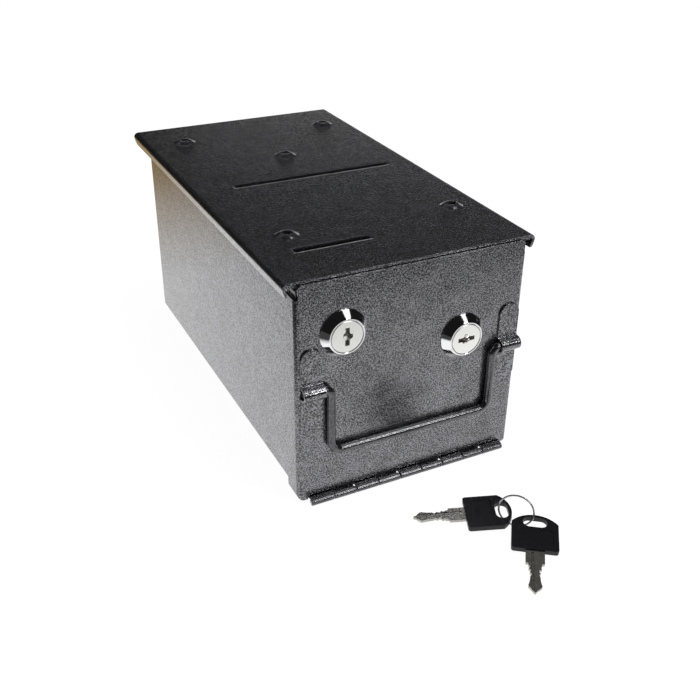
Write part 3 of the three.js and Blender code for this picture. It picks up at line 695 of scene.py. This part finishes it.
bailLook = {
    "axis": jointPlace("bail_swing")[1:], "rod": 2.4, "leg": 50.5, "foot": 66.6, "drop": 40.3,
    "shoulder": 4.5, "corner": 6.5,
    "strapX": 61.2, "strapWidth": 12.8, "strapHalf": 25.0, "gauge": 1.2, "heel": 1.2, "loop": 3.35,
    "tipFlat": 0.05,
}


def makeStrap(look, node, side):
    y, z = look["axis"]
    flat = doorLook["face"] - look["gauge"] / 2
    loop, heel, width, half = look["loop"], look["heel"], look["strapWidth"], look["strapHalf"]
    straight, lead = half - loop - heel, flat - heel - y
    moves = [(straight,), (90, heel), (lead,), (-180, loop), (lead,), (90, heel), (straight,)]
    start = (side * look["strapX"] - width / 2, flat, z - half)
    bm = bentSheet(start, (0, 0, 1), (1, 0, 0), moves, width, 10)
    ends = [v for v in bm.verts if abs(abs(v.co.z - z) - half) < near]
    eased(bm, ends, width / 2 - look["tipFlat"], 10, "VERTICES")
    finishPiece(node, thickened(bm, look["gauge"], 0.0), "door", enamel, edge=0.25)


def makeBail(look):
    y, z = look["axis"]
    foot, shoulder, corner = look["foot"], look["shoulder"], look["corner"]
    bm = bmesh.new()
    ring = bmesh.ops.create_circle(bm, segments=32, radius=look["rod"], cap_ends=False)["verts"]
    stand = Matrix.Translation((-foot, y, z)) @ Matrix.Rotation(pi / 2, 4, "Y")
    bmesh.ops.transform(bm, matrix=stand, verts=ring)
    out, down = foot - look["leg"] - shoulder, look["drop"] - shoulder - corner
    across = 2 * (look["leg"] - corner)
    moves = [
        (out,), (90, shoulder), (down,), (-90, corner), (across,),
        (-90, corner), (down,), (90, shoulder), (out,),
    ]
    walk(bm, bm.verts[:] + bm.edges[:], (-foot, y, z), (1, 0, 0), (0, 1, 0), moves, 12)
    bmesh.ops.holes_fill(bm, edges=bm.edges[:], sides=0)
    bmesh.ops.recalc_face_normals(bm, faces=bm.faces[:])
    finishPiece("bail_handle", bm, "bail", shadedRodEnamel, edge=0.35, segments=3, limit=50)


makeStrap(bailLook, "handle_strap_left", -1)
makeStrap(bailLook, "handle_strap_right", 1)
makeBail(bailLook)


# The cam locks. Each has a barrel with a conical bezel and a plug with a keyway and the first wafers.

def makeBarrel(look, lock, centre):
    x, face, z = centre
    reach, body, bezel, proud = look["reach"], look["body"], look["bezel"], look["proud"]
    bore, recess = look["plug"] + look["fit"], look["plugHead"] + look["fit"]
    floor = -proud + look["plugDepth"] + look["fit"]
    tail, lip, rim = look["tailEase"], look["recessEase"], look["rim"]
    rimIn, rimUp = look["rimEase"]
    outline = [
        (bore, reach), (body - tail, reach), (body, reach - tail), (body, 0), (bezel, 0), (bezel, -rim),
        (bezel - rimIn, -rim - rimUp), *[(look["land"] + out, -proud + back) for out, back in look["brow"]],
        (recess + lip, -proud), (recess, -proud + lip), (recess, floor), (bore, floor), (bore, reach),
    ]
    bm = turned(bmesh.new(), outline, centre, 1, 96)
    flats = bmesh.new()
    wide, deep = (x - bezel - past, x + bezel + past), (face + look["short"], face + reach + past)
    for low in (-bezel, look["flat"]):
        block(flats, wide, deep, (z + low, z + low + bezel - look["flat"]))
    finishPiece(lock + "_barrel", cutWith(bm, flats), "door", chrome, edge=0.06, limit=24)


def keywayTool(look):
    bm = bmesh.new()
    front = -look["proud"] - past
    bm.faces.new([bm.verts.new((x, front, z - look["keywayDrop"])) for x, z in look["keyway"]])
    return extruded(bm, (0, look["keywayDepth"] + past, 0))


def waferStack(look):
    bm = bmesh.new()
    for i in range(look["wafers"]):
        creepX, creepZ = (creep * i for creep in look["waferCreep"])
        outX, downZ = (stagger * (i % 2) for stagger in look["waferStagger"])
        wide = (look["waferX"][0] + creepX, look["waferX"][1] + outX)
        front = look["waferFront"] + look["waferPitch"] * i - look["proud"]
        high = (look["waferZ"][0] + creepZ, look["waferZ"][1] - downZ)
        deep = (front, front + look["waferGauge"])
        block(bm, wide, deep, high, axis=1, radius=look["waferCorner"], segments=3)
    return bm


def makePlug(look, lock, centre, turn):
    x, face, z = centre
    plug, head, reach, front = look["plug"], look["plugHead"], look["reach"], -look["proud"]
    step = front + look["plugDepth"]
    outline = [
        (0, front), *[(head + out, front + back) for out, back in look["plugEase"]],
        (head, step), (plug, step), (plug, reach), (0, reach),
    ]
    bm = turned(bmesh.new(), outline, centre, 1, 80)
    half, end = look["square"] - look["fit"], face + reach
    deep = (end - look["stubRoot"], end + look["stub"])
    bm = cutWith(bm, block(bmesh.new(), (x - half, x + half), deep, (z - half, z + half)), "UNION")
    stand = Matrix.Translation(centre) @ Matrix.Rotation(radians(turn), 4, "Y")
    keyway, wafers = keywayTool(look), waferStack(look)
    for part in (keyway, wafers):
        bmesh.ops.transform(part, matrix=stand, verts=part.verts[:])
    bm = joinMeshes(cutWith(bm, keyway), wafers)
    finish = turnedFace(pieceName(lock) + "Face", faceLook, centre)
    finishPiece(lock + "_plug", bm, lock + "_core", finish, edge=0.08, limit=24)


for lockName, keywayTurn in lockLook["turns"].items():
    lockCentre = jointPlace(lockName + "_turn")
    makeBarrel(lockLook, lockName, lockCentre)
    makePlug(lockLook, lockName, lockCentre, keywayTurn)


# The keys on their ring. They lie on the plane that the box stands on, under the hinge and the rear edge.

restSlope = 0.9504  # how far the box leans back, in degrees
keyLook = {
    "lift": 2.7, "width": 25.0, "side": 19.5, "crown": 6.0, "thick": 3.0, "corner": 1.6, "inset": 5.5,
    "hole": (7.0, 13.0), "holeFlat": 0.02,
    "panelBorder": 3.0, "panelDepth": 0.3, "panelGap": 1.6, "panelCorner": 1.8,
    "bladeThick": 1.6, "bladeWidth": 7.0, "bladeLength": 19.5, "tip": 4.2,
    "shoulderWidth": 10.0, "shoulderLength": 9.2, "shoulderCorner": 0.5, "root": 8.0,
    "bites": [(0.15, 0.2), (0.8, 0.7), (1.6, 1.4), (1.2, 1.5), (0.7, 0.5)], "biteRadius": 1.24,
    "waistAt": 10.6, "waistDepth": 0.9, "waistRadius": 18.0,
    "groove": 1.3, "grooveDepth": 0.4, "grooveEnd": 1.5, "grooveCorner": 0.3,
}
ringLook = {"centre": (30.4, -62.0), "turn": -46.8, "lean": 84.7, "radius": 9.6, "wire": 0.5}
keyPlaces = {
    "key_1": {"side": -1, "turn": -23.6, "wire": (-1.0, -3.8)},
    "key_2": {"side": 1, "turn": 54.7, "wire": (0.1, 3.3)},
}


def restPlane(unit=1.0):
    y, z = hingeLook["axis"]
    under = Matrix.Translation((0, y * unit, (z - hingeLook["radius"]) * unit))
    return under @ Matrix.Rotation(radians(restSlope), 4, "X")


def makeRing(ring):
    bm = bmesh.new()
    circle = bmesh.ops.create_circle(bm, segments=16, radius=ring["wire"], cap_ends=False)["verts"]
    upright = Matrix.Translation((ring["radius"], 0, 0)) @ Matrix.Rotation(pi / 2, 4, "X")
    bmesh.ops.transform(bm, matrix=upright, verts=circle)
    spun(bm, bm.verts[:] + bm.edges[:], (0, 0, 0), (0, 0, 1), 128)
    x, y = ring["centre"]
    lean = radians(ring["lean"])
    stand = Matrix.Translation((x, y, ring["wire"] + ring["radius"] * sin(lean)))
    stand = stand @ Matrix.Rotation(radians(ring["turn"]), 4, "Z") @ Matrix.Rotation(lean, 4, "X")
    finishPiece("key_ring", bm, "ring", ringSteel, stand=restPlane() @ stand)


def wireCrossing(ring, side, height):
    # Where the ring's wire passes through this height, on one side or the other.
    lean, turn = radians(ring["lean"]), radians(ring["turn"])
    below = (height - ring["wire"]) / sin(lean) - ring["radius"]
    reach = side * sqrt(ring["radius"] ** 2 - below ** 2)
    flat = Matrix.Rotation(turn, 2) @ Vector((reach, below * cos(lean)))
    return flat + Vector(ring["centre"])


def keyStand(look, ring, where):
    # The ring lifts the head by its hole, and the blade's tip rests on the floor.
    tipReach = look["crown"] + look["side"] + look["shoulderLength"] + look["bladeLength"] - look["inset"]
    rise = look["lift"] + (look["thick"] - look["bladeThick"]) / 2
    turn = radians(where["turn"])
    crossing = wireCrossing(ring, where["side"], look["lift"] + look["thick"] / 2)
    hole = crossing - Matrix.Rotation(turn, 2) @ Vector(where["wire"])
    tilt = -atan(rise / sqrt(tipReach ** 2 - rise ** 2))
    spot = Matrix.Translation((hole.x, hole.y, look["lift"]))
    return restPlane() @ spot @ Matrix.Rotation(turn, 4, "Z") @ Matrix.Rotation(tilt, 4, "Y")


def keyHeadMesh(look):
    half, crown, thick, corner = look["width"] / 2, look["crown"], look["thick"], look["corner"]
    start = look["inset"] - crown - look["side"]
    radius = (half * half + crown * crown) / (2 * crown)
    sweep = 2 * atan(half / (radius - crown)) * 180 / pi
    shoulderTurn, flank = (180 - sweep) / 2, look["side"] - corner
    moves = [
        (flank,), (shoulderTurn, 0), (sweep, radius), (shoulderTurn, 0), (flank,),
        (90, corner), (2 * (half - corner),), (90, corner),
    ]
    at = (start + corner, -half, 0)
    bm = bmesh.new()
    first = bmesh.ops.create_vert(bm, co=at)["vert"]
    walk(bm, first, at, (1, 0, 0), (0, 0, 1), moves, 14)
    bmesh.ops.remove_doubles(bm, verts=bm.verts[:], dist=near)
    bmesh.ops.contextual_create(bm, geom=bm.edges[:])
    extruded(bm, (0, 0, thick))
    across, along = look["hole"][0] / 2, look["hole"][1] / 2
    wide, deep, rounding = (-across, across), (-along, along), across - look["holeFlat"]
    tool = block(bmesh.new(), wide, deep, (-past, thick + past), axis=2, radius=rounding, segments=14)
    border, depth = look["panelBorder"], look["panelDepth"]
    panel = ((start + border, -across - look["panelGap"]), (border - half, half - border))
    for high in ((thick - depth, thick + past), (-past, depth)):
        block(tool, *panel, high, axis=2, radius=look["panelCorner"])
    return cutWith(bm, tool)


def edgeDiscs(look, places, radius, spokes):
    # Upright discs whose rims bite into one edge of the blade or the other.
    half, tool = look["bladeWidth"] / 2, bmesh.new()
    for x, depth, sign in places:
        disc = drum(radius, -past, look["thick"] + past)
        turned(tool, disc, (x, sign * (half - depth + radius), 0), 2, spokes)
    return tool


def keyBladeMesh(look):
    start = look["inset"] - look["crown"] - look["side"]
    shoulder = start - look["shoulderLength"]
    tip = shoulder - look["bladeLength"]
    half, wide = look["bladeWidth"] / 2, look["shoulderWidth"] / 2
    low = (look["thick"] - look["bladeThick"]) / 2
    high = low + look["bladeThick"]
    root, thick = (shoulder, start + look["root"]), (low, high)
    bm = block(bmesh.new(), root, (-wide, wide), thick, axis=2, radius=look["shoulderCorner"], segments=3)
    bm = cutWith(bm, block(bmesh.new(), (tip, shoulder + past), (-half, half), thick), "UNION")
    waist = [(tip + look["waistAt"], look["waistDepth"], sign) for sign in (1, -1)]
    bm = cutWith(bm, edgeDiscs(look, waist, look["waistRadius"], 160))
    run = (look["bladeLength"] - look["tip"]) / (len(look["bites"]) + 1)
    bites = []
    for i, (upper, lower) in enumerate(look["bites"]):
        x = tip + look["tip"] + run * (i + 1)
        bites += [(x, upper, 1), (x, lower, -1)]
    bm = cutWith(bm, edgeDiscs(look, bites, look["biteRadius"], 32))
    grooves, width, depth = bmesh.new(), look["groove"], look["grooveDepth"]
    for sign, z in ((1, (high - depth, high + past)), (-1, (low - past, low + depth))):
        y = (sign * width - width / 2, sign * width + width / 2)
        x = (tip - past, start - look["grooveEnd"])
        block(grooves, x, y, z, axis=0, radius=look["grooveCorner"], segments=3)
    bm = cutWith(bm, grooves)
    for sign in (1, -1):
        bmesh.ops.bisect_plane(
            bm, geom=bm.verts[:] + bm.edges[:] + bm.faces[:], dist=weld / 5, plane_co=(tip, 0, 0),
            plane_no=(-1, sign * look["tip"] / half, 0), clear_outer=True, clear_inner=False,
        )
        bmesh.ops.holes_fill(bm, edges=bm.edges[:], sides=0)
    bmesh.ops.recalc_face_normals(bm, faces=bm.faces[:])
    return bm


def makeKey(look, key, stand):
    head, blade = keyHeadMesh(look), keyBladeMesh(look)
    finishPiece(key + "_head", head, key, plastic, edge=0.45, segments=4, stand=stand)
    finishPiece(key + "_blade", blade, key, keyMetal, edge=0.12, stand=stand)


makeRing(ringLook)
for keyName, keyPlace in keyPlaces.items():
    makeKey(keyLook, keyName, keyStand(keyLook, ringLook, keyPlace))


# The CAD pieces that stay are only given their finishes.

carried = {
    "case_back": enamel, "case_top": enamel, "door_catch": zinc, "hinge_pin": zinc,
    "table_lock_nut": zinc, "table_lock_cam": zinc, "table_lock_cam_screw": zinc,
    "door_lock_nut": zinc, "door_lock_cam": zinc, "door_lock_cam_screw": zinc,
}
for nodeName, finish in carried.items():
    for spot in frame["nodes"][nodeName].material_slots:
        spot.material = finish
print("carried pieces are finished")


# The studio, in metres but for the paper's fibre. A pair of a start and a span says where a level begins
# to change and over what distance.

studioLook = {
    "floorSpan": 12.0, "white": 1.06, "shadow": 0.1, "fibre": 30, "paperRough": 0.9,
    "paper": [(0.84, 0.84, 0.84, 1), (0.88, 0.88, 0.88, 1)],
    "sheet": {"front": (-0.52, 0.28), "left": (-0.26, 0.11), "right": (0.6, 0.25), "rear": (0.17, 0.25)},
    "beyond": (0.5, 0.36, 0.19, 1), "aside": 0.05,
    "aim": (0, 0, 0.06),
    "lamps": [  # place, width, height, watts, whether surfaces mirror it
        ((0.27, -0.28, 1.05), 0.6, 0.6, 8.0, False),
        ((0.43, -0.3, 1.0), 0.45, 0.45, 0.75, True),
        ((0.43, -0.65, 0.9), 0.3, 0.2, 1.8, True),
        ((0.43, -1.0, 0.53), 0.5, 0.06, 2.4, True),
    ],
}
skyLook = {
    "white": 1.06, "sky": 0.5, "ceiling": 0.008, "rear": (0.1, 0.2),
    "horizon": (0.15, 0.05), "horizonRight": (0.2, 0.12),
    "glow": 0.2, "glowTop": (0.42, 0.3), "glowRight": (0.2, 0.22), "glowCurve": 1.5,
    "overhead": 0.17, "overheadUp": (0.5, 0.12), "overheadRear": (0.2, 0.3),
}
plainWhite = (1, 1, 1, 1)


def makePaper(look):
    # The camera sees plain white with a faint shadow, and the paint mirrors a sheet that ends.
    make = FinishMaker("paperFloor")
    path = make.outputs("ShaderNodeLightPath")
    spot = make.outputs("ShaderNodeSeparateXYZ", {"Vector": make.place()})
    sheet = look["sheet"]
    sides = make.rise(spot["X"], *sheet["left"]) * make.fall(spot["X"], *sheet["right"])
    bright = make.rise(spot["Y"], *sheet["front"]) * sides * (1 - look["aside"]) + look["aside"]
    rear = make.rise(spot["Y"], *sheet["rear"])
    tint = make.mix(make.noise(make.place(), look["fibre"], detail=3), *look["paper"])
    paper = make.node("ShaderNodeBsdfPrincipled", {}, {"Base Color": tint, "Roughness": look["paperRough"]})
    white = make.glowing(plainWhite, look["white"])
    share = path["Is Camera Ray"] * (1 - look["shadow"])
    seen = make.node("ShaderNodeMixShader", {}, {0: share, 1: paper, 2: white})
    sheen = make.glowing(make.mix(rear, plainWhite, look["beyond"]), bright)
    mirrored = make.clamp(path["Is Glossy Ray"] + path["Is Transmission Ray"])
    make.close(make.node("ShaderNodeMixShader", {}, {0: mirrored, 1: seen, 2: sheen}))
    make.material.cycles.emission_sampling = "NONE"  # its glow is for what sees it, and lights nothing
    return make.material


def makeFloor(look):
    bm = bmesh.new()
    bmesh.ops.create_grid(bm, x_segments=4, y_segments=4, size=look["floorSpan"] / 2)
    bmesh.ops.transform(bm, matrix=restPlane(mm), verts=bm.verts[:])
    mesh = meshFrom(bm, "floor")
    mesh.materials.append(makePaper(look))
    placed("floor", mesh)


def makeWorld(look):
    world = bpy.data.worlds.new("studio")
    world.use_nodes = True
    bpy.context.scene.world = world
    world.cycles.sampling_method = "NONE"  # so that each kind of ray finds its own level
    make = FinishMaker("studio", world.node_tree)
    path = make.outputs("ShaderNodeLightPath")
    way = make.node("ShaderNodeTexCoord", {}, {}, "Generated")
    parts = make.outputs("ShaderNodeSeparateXYZ", {"Vector": way})
    right, back, height = parts["X"], parts["Y"], parts["Z"]
    rear = make.rise(back, *look["rear"])
    band = make.fall(height, *look["horizon"]) * rear * make.rise(right, *look["horizonRight"])
    low = make.fall(height, *look["glowTop"]) ** look["glowCurve"]
    glow = low * make.rise(right, *look["glowRight"]) * rear
    overhead = make.rise(height, *look["overheadUp"]) * make.rise(back, *look["overheadRear"])
    glossy = make.clamp(band + glow * look["glow"] + overhead * look["overhead"] + look["ceiling"])
    isCamera, isGlossy = path["Is Camera Ray"], path["Is Glossy Ray"]
    others = 1 - make.clamp(isCamera + isGlossy)
    level = isCamera * look["white"] + isGlossy * glossy + others * look["sky"]
    sky = make.node("ShaderNodeBackground", {}, {"Color": plainWhite, "Strength": level})
    make.close(sky, "ShaderNodeOutputWorld")


def makeLamps(look):
    for i, (place, width, height, watts, mirrored) in enumerate(look["lamps"]):
        light = bpy.data.lights.new("lamp%d" % (i + 1), "AREA")
        light.shape, light.size, light.size_y, light.energy = "RECTANGLE", width, height, watts
        lamp = placed(light.name, light)
        turn = (Vector(look["aim"]) - Vector(place)).to_track_quat("-Z", "Y")
        lamp.matrix_world = Matrix.Translation(place) @ turn.to_matrix().to_4x4()
        lamp.visible_glossy = mirrored


cameraLook = {
    "place": (-230.13, -507.23, 333.58), "yaw": 26.88, "pitch": 30.08, "roll": 0.78,
    "lens": 48.25, "sensor": 36.0, "far": 50.0,
}


def makeCamera(look):
    yaw, pitch, roll = (radians(look[key]) for key in ("yaw", "pitch", "roll"))
    ahead = Vector((sin(yaw) * cos(pitch), cos(yaw) * cos(pitch), -sin(pitch)))
    right = Vector((cos(yaw), -sin(yaw), 0))
    up = right.cross(ahead)
    across, over = right * cos(roll) + up * sin(roll), up * cos(roll) - right * sin(roll)
    lens = bpy.data.cameras.new("camera")
    lens.lens, lens.sensor_width, lens.clip_end = look["lens"], look["sensor"], look["far"]
    camera = placed("camera", lens)
    turn = Matrix((across, over, -ahead)).transposed().to_4x4()
    camera.matrix_world = Matrix.Translation(Vector(look["place"]) * mm) @ turn
    bpy.context.scene.camera = camera


makeFloor(studioLook)
makeWorld(skyLook)
makeLamps(studioLook)
makeCamera(cameraLook)
bpy.context.scene.view_settings.view_transform = "Standard"
print("studio is set")
